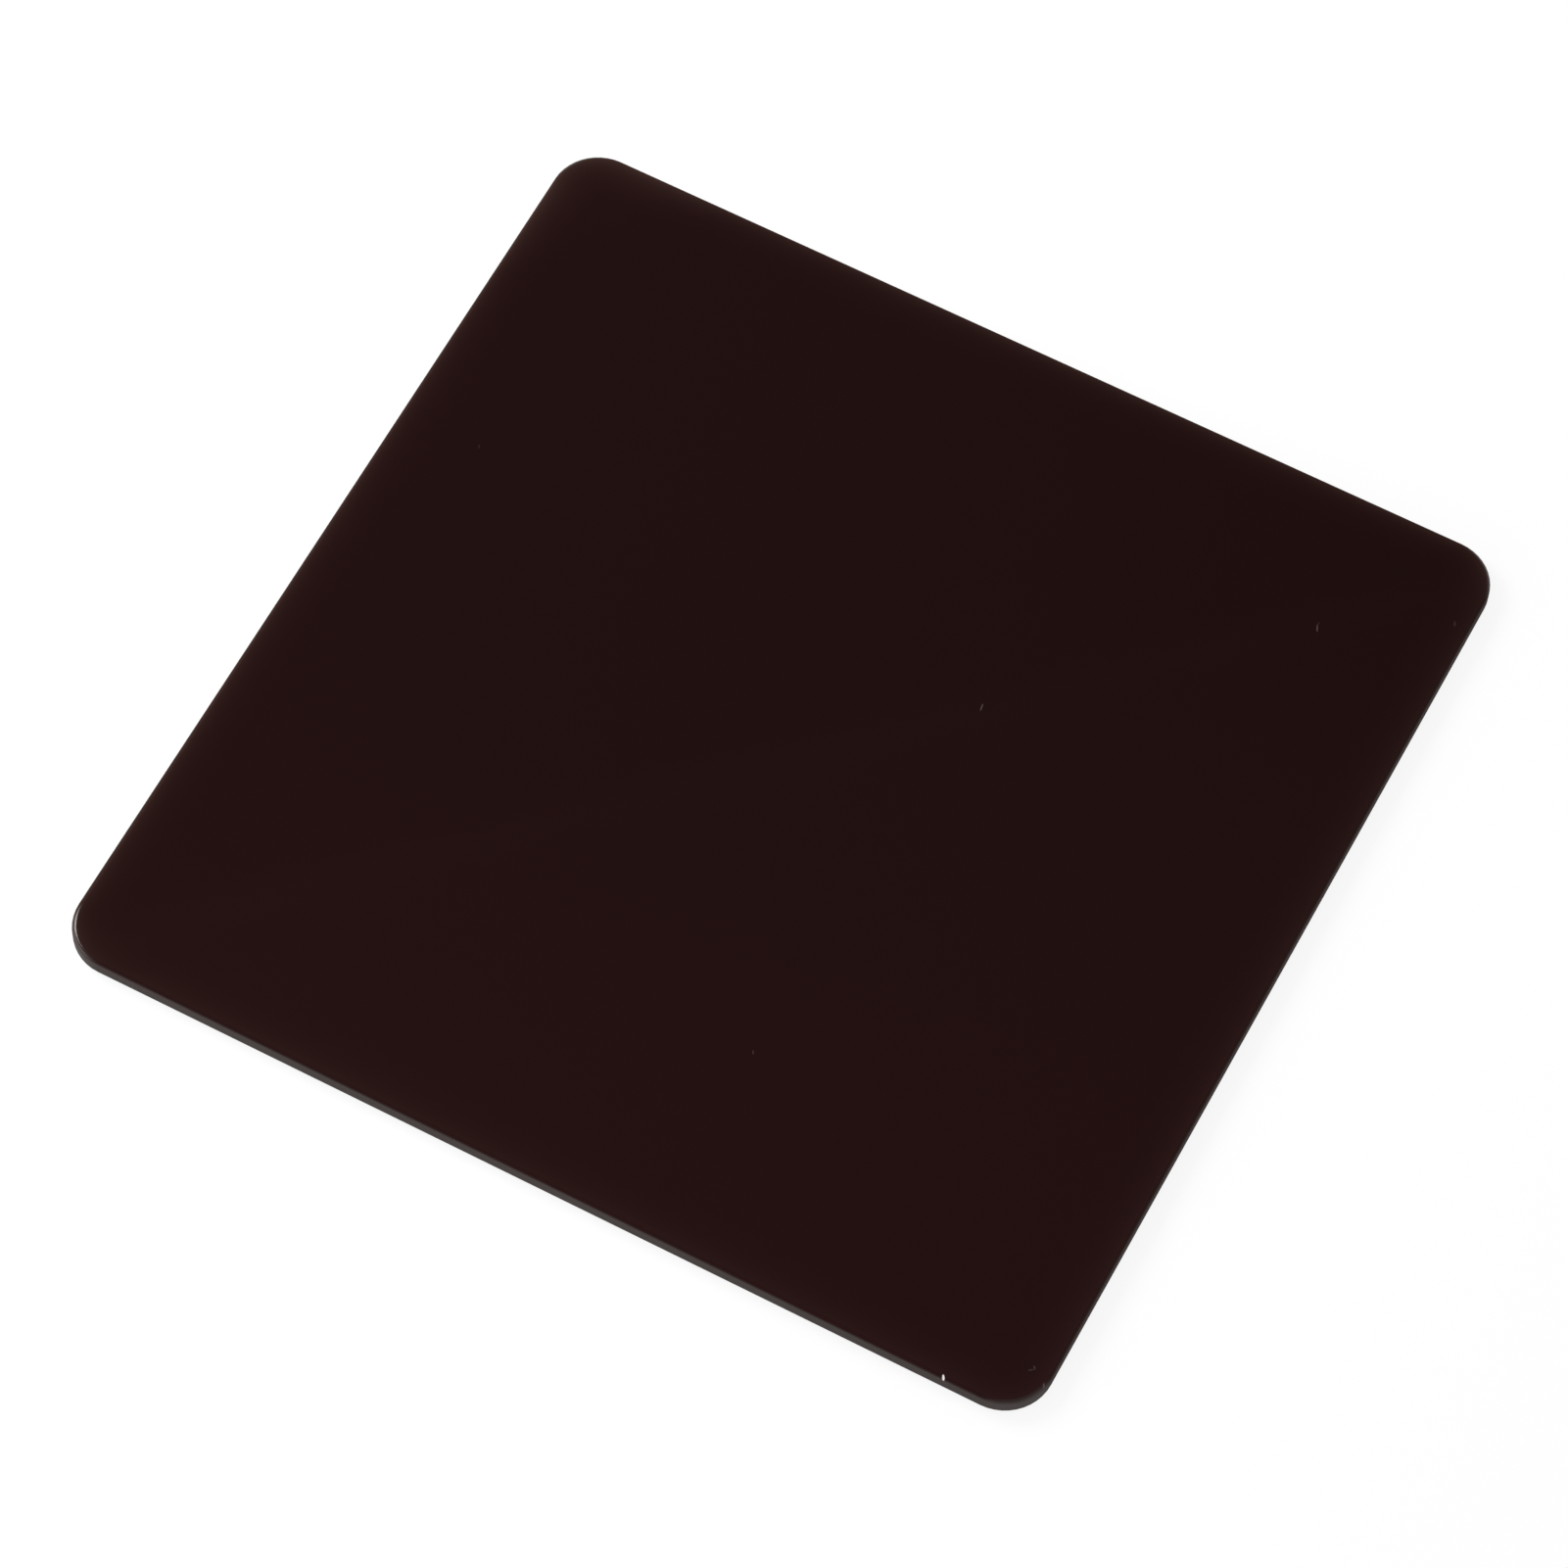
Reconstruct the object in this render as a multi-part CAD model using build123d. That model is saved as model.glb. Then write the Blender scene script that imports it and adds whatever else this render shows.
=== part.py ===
"""Square neutral density filter: one plate of dark tinted optical glass, with rounded corners.

Frame, in millimetres: the origin is the middle of the rear face, where the lens axis crosses it.
+Z runs along the lens axis to the front face, X and Y run along the plate's sides, and -Y is the
side that carries the small nick. The plate is one solid, cut from sheet, with finely ground walls
and a rounded arris round both faces.
"""
from build123d import *
import os
from math import sqrt

# Driving dimensions
PLATE_SIDE = 100.0         # width and height, which slide into the slots of a 100 mm filter holder
PLATE_THICKNESS = 2.0      # the slots' standard gauge
CORNER_RADIUS = 4.7        # in plan, at all four corners
ARRIS_RADIUS = 0.45        # the rounding between each face and the walls

# The nick is a short scratch worn across the front arris of the -Y side, near its +X corner.
NICK_FROM_CORNER = 8.5     # from the +X side, along the -Y side
NICK_WIDTH = 0.15
NICK_LENGTH = 0.5          # across the arris
NICK_LEAN = 21.0           # degrees off square to the side, with its lower end towards +X


def plate_blank():
    """The sheet as it is cut: a square with rounded corners, one plate thick."""
    outline = RectangleRounded(PLATE_SIDE, PLATE_SIDE, CORNER_RADIUS)
    return extrude(outline, amount=PLATE_THICKNESS)


def round_arrises(blank):
    """Rounds the edges of the rear face and of the front face."""
    faces = blank.faces().sort_by(Axis.Z)
    rims = faces[0].edges() + faces[-1].edges()
    return fillet(rims, ARRIS_RADIUS)


def nick_tool():
    """A thin round bar laid across the arris, sunk until it leaves a nick of the stated length.

    The arris is an arc, so a straight bar bites deepest in its middle and runs out at both ends.
    The bite's depth is the sagitta of that arc over the nick's length, and the bar's radius is the
    one whose own sagitta of that depth spans the nick's width.
    """
    half_length = NICK_LENGTH / 2
    depth = ARRIS_RADIUS - sqrt(ARRIS_RADIUS**2 - half_length**2)
    bar_radius = (NICK_WIDTH**2 / 4 + depth**2) / (2 * depth)
    # The middle of the arris: its arc's centre, and half a right angle round from there.
    arc_centre = Vector(
        PLATE_SIDE / 2 - NICK_FROM_CORNER,
        -PLATE_SIDE / 2 + ARRIS_RADIUS,
        PLATE_THICKNESS - ARRIS_RADIUS,
    )
    outward = Vector(0, -1, 1).normalized()
    bar_middle = arc_centre + outward * (ARRIS_RADIUS - depth + bar_radius)
    # Its local Z is the bar's length, which runs down the slope of the arris.
    seat = Plane(origin=bar_middle, x_dir=outward, z_dir=Vector(0, -1, -1))
    return seat * Rot(X=NICK_LEAN) * Cylinder(bar_radius, 2 * NICK_LENGTH)


def filter_plate():
    """The finished plate, with its nick."""
    plate = round_arrises(plate_blank()) - nick_tool()
    plate.label = "filter_plate"
    return plate


os.makedirs("parts", exist_ok=True)
export_step(filter_plate(), "parts/filter_plate.step")
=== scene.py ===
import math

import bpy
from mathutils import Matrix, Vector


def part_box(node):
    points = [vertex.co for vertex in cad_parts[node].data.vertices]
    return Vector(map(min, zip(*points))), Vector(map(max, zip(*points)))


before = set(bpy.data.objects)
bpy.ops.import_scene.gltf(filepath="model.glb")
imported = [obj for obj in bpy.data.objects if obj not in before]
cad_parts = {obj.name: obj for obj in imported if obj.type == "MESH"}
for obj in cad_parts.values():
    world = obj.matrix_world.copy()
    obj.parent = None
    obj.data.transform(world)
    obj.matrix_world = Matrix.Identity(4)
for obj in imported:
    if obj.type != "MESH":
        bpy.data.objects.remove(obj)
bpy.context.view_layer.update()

# A square neutral density filter, lying on its rear face on a pale floor.
# The plate is one piece of glass and comes whole from the frame, so this script gives it its finish,
# and then the floor, the light and the camera. Lengths are in metres, and Z points up.

MM = 0.001
DEGREE = math.radians(1)

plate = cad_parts["filter_plate"]
plate_low, plate_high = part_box("filter_plate")
HALF_SIDE = (plate_high.x - plate_low.x) / 2
FRONT_FACE = plate_high.z
CORNER_RADIUS = 4.7 * MM       # in plan

GLASS_IOR = 1.52
COATED_SHINE = 0.03            # specular level under the coat, where bare glass has 0.5
POLISHED = (0.03, 0.07)        # roughness of a wiped face, between smears and on them
WORN = 0.06                    # roughness of the corners' roundings, where the coat has gone
GROUND = 0.9                   # roughness of the other roundings and the walls
# The grains of a finely ground edge are about 0.02 mm, too fine to show here, so they are drawn coarser
GRAIN = 0.12 * MM
GRAIN_DEPTH = 0.01 * MM
GRAIN_RELIEF = 0.25            # share of that depth that shows
SMEAR = 25 * MM                # length of a cleaning cloth's smear, which is a quarter as wide

NOISE_SPAN = (0.35, 0.65)      # most of a noise texture's values lie between these

# The way in which the glass's colour is painted lighter, as painted shading for how the light falls, and
# the stretch of it over which it does
PAINTED_LIGHT_WAY = (0.5, -0.87, 0)
PAINTED_LIGHT_SPAN = (-20 * MM, 60 * MM)

# How far the surface has turned from the face where a finish starts, and where it is full
MATT_TURN = (2 * DEGREE, 12 * DEGREE)      # the matt rounding
GREY_TURN = (42 * DEGREE, 85 * DEGREE)     # the grey of the ground wall

# Painted light in the rim, drawn as a lighter colour. Its reach is how far in it falls to a quarter, and
# places are told by y - x.
SIDES_MEET = (-6 * MM, 4 * MM)             # from the dim sides, +X and -Y, to the bright ones
BRIGHT_CORNER = (80 * MM, 95 * MM)         # from the bright sides to the corner between them
BRIGHT_REACH = (0.6 * MM, 1.2 * MM)        # on those sides, and at that corner
DIM_REACH = 2.0 * MM
DIM_STRENGTH = (0.12, 0.38)                # on the -Y rounding and on the +X one, where bright is 1

# Wear on the corners' roundings
WEAR_INSET = (4.8 * MM, 2.7 * MM)          # how far in from both sides it starts, and where it is full
BY_X_SIDE = (0.7 * MM, 3.0 * MM)           # up to where a place is close to the -X side, and no longer
WEAR_TURN = (9 * DEGREE, 35 * DEGREE)      # the turn at which it is full, close to that side and not
FADE_TURN = (75 * DEGREE, 35 * DEGREE)     # the turn at which it has faded, and where it starts to
WALL_WEAR = 0.1                            # what is left of it then

# Dust and short scratches on the front face: x, y, length and width in mm, lean in degrees, strength
DUST = (
    (48.01, -45.53, 0.50, 0.14, 39, 0.25),
    (48.20, -45.18, 0.42, 0.14, -49, 0.35),
    (49.75, -46.39, 0.65, 0.17, -61, 0.8),
    (13.46, 12.37, 0.80, 0.13, -81, 0.55),
    (37.31, 34.99, 0.80, 0.14, -65, 0.5),
    (37.19, 35.50, 0.40, 0.16, -82, 0.1),
    (48.49, 41.59, 0.60, 0.22, -67, 0.15),
    (11.59, -29.49, 0.42, 0.14, -60, 0.25),
    (-41.54, 14.89, 0.42, 0.16, -63, 0.1),
)
# The white of the nick in the front edge, partly its broken glass and partly a painted glint, a little
# wider than the cut, and how deep all marks are drawn
NICK = (41.5 * MM, -49.83 * MM, FRONT_FACE - 0.15 * MM)
NICK_LENGTH, NICK_WIDTH, NICK_LEAN = 0.62 * MM, 0.22 * MM, -61
MARK_DEPTH = 0.5 * MM

# The board that the plate lies on
BOARD_RADIUS = 4.0
BOARD_GAP = 0.03 * MM          # under the plate, so that no two faces share a place
BOARD_WHITE = 0.86             # what the camera sees of it besides the light that falls on it

# The light of the room dims from 1 at the first height, as a sine, to its level overhead at the second
ROOM_HEIGHTS = (0.05, 0.5)
OVERHEAD = 0.35

# The camera, as fitted to the plate's outline in the photograph
CAMERA_LENS, SENSOR_WIDTH = 160.1895, 36           # in mm
CAMERA_PLACE = (0.137408, -0.282758, 0.568852)
CAMERA_TURN = (28.70775, -1.02085, 27.89573)       # in degrees round X, Y and Z
CAMERA_REACH = (0.01, 50)                          # the nearest and farthest that it sees

# Where a Mix node keeps its mask and its two colours
MASK, FIRST, SECOND = 0, 6, 7


def colour(code):
    """Turns an sRGB hex code into the linear colour that a shader socket takes."""
    channels = [int(code[i:i + 2], 16) / 255 for i in (1, 3, 5)]
    return (*[c / 12.92 if c <= 0.04045 else ((c + 0.055) / 1.055) ** 2.4 for c in channels], 1.0)


BODY = colour("#231010")           # the dyed glass
BODY_PAINTED_LIGHTER = colour("#281213")      # painted shading: the same colour a trace lighter towards the -Y side
# painted light at the rim, mixed into the glass's colour
RIM_GLOW = colour("#4A3630")
GROUND_LOW = colour("#4C4644")     # between the grains of a ground wall
GROUND_HIGH = colour("#554D4C")    # on the grains
DUST_GREY = colour("#6E6260")
# the nick's white: partly broken glass, partly a painted glint
CHIP_WHITE_AND_GLINT = colour("#FFFAFA")
WHITE = colour("#FFFFFF")
BOARD = colour("#E7E7E7")
BOARD_FAINT = colour("#7C7C7C")


def add(tree, kind, inputs=None, **settings):
    """Adds a node. Each input is given a value, a socket, or a node, whose first live output feeds it."""
    made = tree.nodes.new(kind)
    for name, value in settings.items():
        setattr(made, name, value)
    for key, value in (inputs or {}).items():
        if isinstance(value, bpy.types.Node):
            value = next(output for output in value.outputs if output.enabled)
        if isinstance(value, bpy.types.NodeSocket):
            tree.links.new(value, made.inputs[key])
        else:
            made.inputs[key].default_value = value
    return made


def new_material(name):
    """An empty node material, and its tree."""
    material = bpy.data.materials.new(name)
    material.use_nodes = True
    material.node_tree.nodes.clear()
    return material, material.node_tree


def mark(tree, place, centre, length, width, lean):
    """A mask of 1 within a thin mark on the glass, and 0 outside it. The mark leans round Z, from +X."""
    local = add(
        tree, "ShaderNodeMapping",
        {"Vector": place, "Location": centre, "Rotation": (0, 0, lean * DEGREE),
         "Scale": (length / 2, width / 2, MARK_DEPTH / 2)},
        vector_type="TEXTURE",
    )
    # The distance is 1 at the mark's edge, which is drawn a little soft
    reach = add(tree, "ShaderNodeVectorMath", {0: local}, operation="LENGTH")
    return add(
        tree, "ShaderNodeMapRange", {"Value": reach, "From Min": 1.2, "From Max": 0.8},
        interpolation_type="SMOOTHSTEP",
    )


def inset_from_outline(tree, across):
    """How far a point lies inside the outline, counted only up to the corner radius."""
    straight = HALF_SIDE - CORNER_RADIUS
    # The third number is more than any height, so that only the distances in plan count
    past = add(
        tree, "ShaderNodeVectorMath", {0: across, 1: (straight, straight, 1.0)}, operation="SUBTRACT",
    )
    past = add(tree, "ShaderNodeVectorMath", {0: past, 1: (0, 0, 0)}, operation="MAXIMUM")
    past = add(tree, "ShaderNodeVectorMath", {0: past}, operation="LENGTH")
    return add(tree, "ShaderNodeMath", {0: CORNER_RADIUS, 1: past}, operation="SUBTRACT")


def rim_glow(tree, place, across, normal):
    """Painted light at the rim: a lighter colour for the light that gets in there and dies away inwards.
    """
    # The -X and +Y sides glow brown close to the rim, and the other two dimly and further in
    aslant = add(tree, "ShaderNodeVectorMath", {0: place, 1: (-1, 1, 0)}, operation="DOT_PRODUCT")
    bright_reach = add(
        tree, "ShaderNodeMapRange",
        {"Value": aslant, "From Min": BRIGHT_CORNER[0], "From Max": BRIGHT_CORNER[1],
         "To Min": BRIGHT_REACH[0], "To Max": BRIGHT_REACH[1]},
        interpolation_type="SMOOTHSTEP",
    )
    reach = add(
        tree, "ShaderNodeMapRange",
        {"Value": aslant, "From Min": SIDES_MEET[0], "From Max": SIDES_MEET[1],
         "To Min": DIM_REACH, "To Max": bright_reach},
        interpolation_type="SMOOTHSTEP",
    )
    # Of the dim sides, the +X rounding shows more of it than the face does, and the -Y rounding less
    lean = add(tree, "ShaderNodeVectorMath", {0: normal, 1: (1, 1.6, 0)}, operation="DOT_PRODUCT")
    dim = add(
        tree, "ShaderNodeMapRange",
        {"Value": lean, "From Min": -0.5, "From Max": 0.5,
         "To Min": DIM_STRENGTH[0], "To Max": DIM_STRENGTH[1]},
        interpolation_type="SMOOTHSTEP",
    )
    strength = add(
        tree, "ShaderNodeMapRange",
        {"Value": aslant, "From Min": SIDES_MEET[0], "From Max": SIDES_MEET[1],
         "To Min": dim, "To Max": 1.0},
        interpolation_type="SMOOTHSTEP",
    )
    # It is full at the rim, and a quarter of that at its reach
    span = add(tree, "ShaderNodeMath", {0: inset_from_outline(tree, across), 1: reach}, operation="ADD")
    fall = add(tree, "ShaderNodeMath", {0: reach, 1: span}, operation="DIVIDE")
    fall = add(tree, "ShaderNodeMath", {0: fall, 1: 2.0}, operation="POWER")
    return add(tree, "ShaderNodeMath", {0: strength, 1: fall}, operation="MULTIPLY")


def uncoated_corners(tree, place, across, turn):
    """A mask of the corners' roundings, which have lost their coat and mirror as bare glass does."""
    sides = add(tree, "ShaderNodeSeparateXYZ", {"Vector": across})
    lesser = add(
        tree, "ShaderNodeMath", {0: sides.outputs["X"], 1: sides.outputs["Y"]}, operation="MINIMUM",
    )
    near_corner = add(
        tree, "ShaderNodeMapRange",
        {"Value": lesser, "From Min": HALF_SIDE - WEAR_INSET[0], "From Max": HALF_SIDE - WEAR_INSET[1]},
        interpolation_type="SMOOTHSTEP",
    )
    # By the -X side the wear starts at the edge of the face, and elsewhere further down the rounding
    full_at = add(
        tree, "ShaderNodeMapRange",
        {"Value": add(tree, "ShaderNodeSeparateXYZ", {"Vector": place}).outputs["X"],
         "From Min": BY_X_SIDE[0] - HALF_SIDE, "From Max": BY_X_SIDE[1] - HALF_SIDE,
         "To Min": WEAR_TURN[0], "To Max": WEAR_TURN[1]},
        interpolation_type="SMOOTHSTEP",
    )
    rounding = add(
        tree, "ShaderNodeMapRange", {"Value": turn, "From Max": full_at}, interpolation_type="SMOOTHSTEP",
    )
    above_wall = add(
        tree, "ShaderNodeMapRange",
        {"Value": turn, "From Min": FADE_TURN[0], "From Max": FADE_TURN[1], "To Min": WALL_WEAR},
        interpolation_type="SMOOTHSTEP",
    )
    worn = add(tree, "ShaderNodeMath", {0: rounding, 1: above_wall}, operation="MULTIPLY")
    return add(tree, "ShaderNodeMath", {0: near_corner, 1: worn}, operation="MULTIPLY")


def tinted_glass():
    """Neutral density glass, dyed through, with polished and coated faces and finely ground walls.

    The dye makes it nearly black with a red cast. The coat takes away almost all shine, so the faces
    look flat and dark, with a grey sheen only at a low angle. The ground walls look grey and matt.
    On the worn corners Blender's coat stands for bare glass, which glints where it mirrors a lamp.
    """
    material, tree = new_material("coated_neutral_density_glass")
    source = add(tree, "ShaderNodeTexCoord")
    place, normal = source.outputs["Object"], source.outputs["Normal"]
    across = add(tree, "ShaderNodeVectorMath", {0: place}, operation="ABSOLUTE")

    # How far the surface has turned from a face, in radians: 0 on both faces, a right angle on a wall
    upward = add(tree, "ShaderNodeSeparateXYZ", {"Vector": normal}).outputs["Z"]
    upward = add(tree, "ShaderNodeMath", {0: upward}, operation="ABSOLUTE")
    turn = add(tree, "ShaderNodeMath", {0: upward}, operation="ARCCOSINE")
    ground = add(
        tree, "ShaderNodeMapRange", {"Value": turn, "From Min": GREY_TURN[0], "From Max": GREY_TURN[1]},
        interpolation_type="SMOOTHSTEP",
    )

    # The dyed glass, with painted shading that makes it a trace lighter towards the -Y side, and with
    # painted light at its rim
    along = add(tree, "ShaderNodeVectorMath", {0: place, 1: PAINTED_LIGHT_WAY}, operation="DOT_PRODUCT")
    pale = add(
        tree, "ShaderNodeMapRange", {"Value": along, "From Min": PAINTED_LIGHT_SPAN[0], "From Max": PAINTED_LIGHT_SPAN[1]},
        interpolation_type="SMOOTHSTEP",
    )
    shade = add(tree, "ShaderNodeMix", {MASK: pale, FIRST: BODY, SECOND: BODY_PAINTED_LIGHTER}, data_type="RGBA")
    glow = rim_glow(tree, place, across, normal)
    shade = add(tree, "ShaderNodeMix", {MASK: glow, FIRST: shade, SECOND: RIM_GLOW}, data_type="RGBA")

    # The ground walls
    grit = add(tree, "ShaderNodeTexNoise", {"Vector": place, "Scale": 1 / GRAIN, "Detail": 3.0})
    matt = add(
        tree, "ShaderNodeMix", {MASK: grit, FIRST: GROUND_LOW, SECOND: GROUND_HIGH}, data_type="RGBA",
    )
    shade = add(tree, "ShaderNodeMix", {MASK: ground, FIRST: shade, SECOND: matt}, data_type="RGBA")

    # Dust, scratches and the nick
    for x, y, length, width, lean, strength in DUST:
        speck = mark(tree, place, (x * MM, y * MM, FRONT_FACE), length * MM, width * MM, lean)
        speck = add(tree, "ShaderNodeMath", {0: speck, 1: strength}, operation="MULTIPLY")
        shade = add(
            tree, "ShaderNodeMix", {MASK: speck, FIRST: shade, SECOND: DUST_GREY}, data_type="RGBA",
        )
    # The nick: a real chip, whose white is partly broken glass and partly a painted glint
    nick = mark(tree, place, NICK, NICK_LENGTH, NICK_WIDTH, NICK_LEAN)
    shade = add(tree, "ShaderNodeMix", {MASK: nick, FIRST: shade, SECOND: CHIP_WHITE_AND_GLINT}, data_type="RGBA")

    # The faces keep a cleaning cloth's faint smears, which show only in their reflections
    wiped = add(tree, "ShaderNodeMapping", {"Vector": place, "Scale": (1, 4, 1)})
    smears = add(tree, "ShaderNodeTexNoise", {"Vector": wiped, "Scale": 1 / SMEAR, "Detail": 3.0})
    polish = add(
        tree, "ShaderNodeMapRange",
        {"Value": smears, "From Min": NOISE_SPAN[0], "From Max": NOISE_SPAN[1],
         "To Min": POLISHED[0], "To Max": POLISHED[1]},
        interpolation_type="SMOOTHSTEP",
    )
    roughness = add(
        tree, "ShaderNodeMapRange",
        {"Value": turn, "From Min": MATT_TURN[0], "From Max": MATT_TURN[1],
         "To Min": polish, "To Max": GROUND},
        interpolation_type="SMOOTHSTEP",
    )
    relief = add(tree, "ShaderNodeMath", {0: ground, 1: GRAIN_RELIEF}, operation="MULTIPLY")
    bump = add(tree, "ShaderNodeBump", {"Strength": relief, "Distance": GRAIN_DEPTH, "Height": grit})

    surface = add(
        tree, "ShaderNodeBsdfPrincipled",
        {"Base Color": shade, "Roughness": roughness, "Normal": bump,
         "IOR": GLASS_IOR, "Specular IOR Level": COATED_SHINE,
         "Coat Weight": uncoated_corners(tree, place, across, turn),
         "Coat Roughness": WORN, "Coat IOR": GLASS_IOR},
    )
    add(tree, "ShaderNodeOutputMaterial", {"Surface": surface})
    return material


def pale_floor():
    """A wide matt white board. The camera sees it white, with the plate's shadow left faintly on it."""
    bpy.ops.mesh.primitive_circle_add(
        vertices=96, radius=BOARD_RADIUS, fill_type="NGON", location=(0, 0, -BOARD_GAP),
    )
    floor = bpy.context.object
    floor.name = "floor"
    bpy.ops.object.transform_apply()
    material, tree = new_material("matt_white_board")
    rays = add(tree, "ShaderNodeLightPath").outputs
    seen = add(
        tree, "ShaderNodeMath", {0: rays["Is Camera Ray"], 1: rays["Is Glossy Ray"]}, operation="MAXIMUM",
    )
    seen = add(tree, "ShaderNodeMath", {0: seen, 1: rays["Is Transmission Ray"]}, operation="MAXIMUM")
    lit = add(tree, "ShaderNodeBsdfDiffuse", {"Color": BOARD})
    faint = add(tree, "ShaderNodeBsdfDiffuse", {"Color": BOARD_FAINT})
    white = add(tree, "ShaderNodeEmission", {"Color": WHITE, "Strength": BOARD_WHITE})
    shown = add(tree, "ShaderNodeAddShader", {0: faint, 1: white})
    surface = add(tree, "ShaderNodeMixShader", {0: seen, 1: lit, 2: shown})
    add(tree, "ShaderNodeOutputMaterial", {"Surface": surface})
    floor.data.materials.append(material)


def studio_world():
    """Pale round the horizon and dimmer overhead, as in a room."""
    world = bpy.data.worlds.new("studio")
    bpy.context.scene.world = world
    world.use_nodes = True
    tree = world.node_tree
    tree.nodes.clear()
    way = add(tree, "ShaderNodeTexCoord").outputs["Generated"]
    height = add(tree, "ShaderNodeSeparateXYZ", {"Vector": way}).outputs["Z"]
    level = add(
        tree, "ShaderNodeMapRange",
        {"Value": height, "From Min": ROOM_HEIGHTS[0], "From Max": ROOM_HEIGHTS[1],
         "To Min": 1.0, "To Max": OVERHEAD},
        interpolation_type="SMOOTHSTEP",
    )
    surface = add(tree, "ShaderNodeBackground", {"Color": WHITE, "Strength": level})
    add(tree, "ShaderNodeOutputWorld", {"Surface": surface})


def softbox(name, azimuth, elevation, distance, width, height, radiance):
    """A soft lamp that faces the plate. Azimuth turns from +X towards +Y."""
    lamp = bpy.data.lights.new(name, "AREA")
    lamp.shape = "RECTANGLE"
    lamp.size, lamp.size_y = width, height
    lamp.energy = radiance * math.pi * width * height
    holder = bpy.data.objects.new(name, lamp)
    bpy.context.scene.collection.objects.link(holder)
    turn, lift = azimuth * DEGREE, elevation * DEGREE
    way = Vector((math.cos(turn) * math.cos(lift), math.sin(turn) * math.cos(lift), math.sin(lift)))
    holder.location = way * distance
    holder.rotation_euler = way.to_track_quat("Z", "Y").to_euler()
    holder.visible_camera = False


def photo_camera():
    """The camera at the photograph's viewing angle."""
    camera = bpy.data.cameras.new("camera")
    camera.lens, camera.sensor_width = CAMERA_LENS, SENSOR_WIDTH
    camera.clip_start, camera.clip_end = CAMERA_REACH
    holder = bpy.data.objects.new("camera", camera)
    bpy.context.scene.collection.objects.link(holder)
    holder.location = CAMERA_PLACE
    holder.rotation_euler = [angle * DEGREE for angle in CAMERA_TURN]
    bpy.context.scene.camera = holder


bpy.ops.object.select_all(action="DESELECT")
plate.data.materials[0] = tinted_glass()
pale_floor()
studio_world()
softbox("key", azimuth=175.6, elevation=43.1, distance=0.347, width=0.165, height=0.165, radiance=7.5)
softbox("fill", azimuth=-120, elevation=18, distance=0.45, width=0.9, height=0.25, radiance=1.0)
photo_camera()
bpy.context.scene.view_settings.view_transform = "Standard"
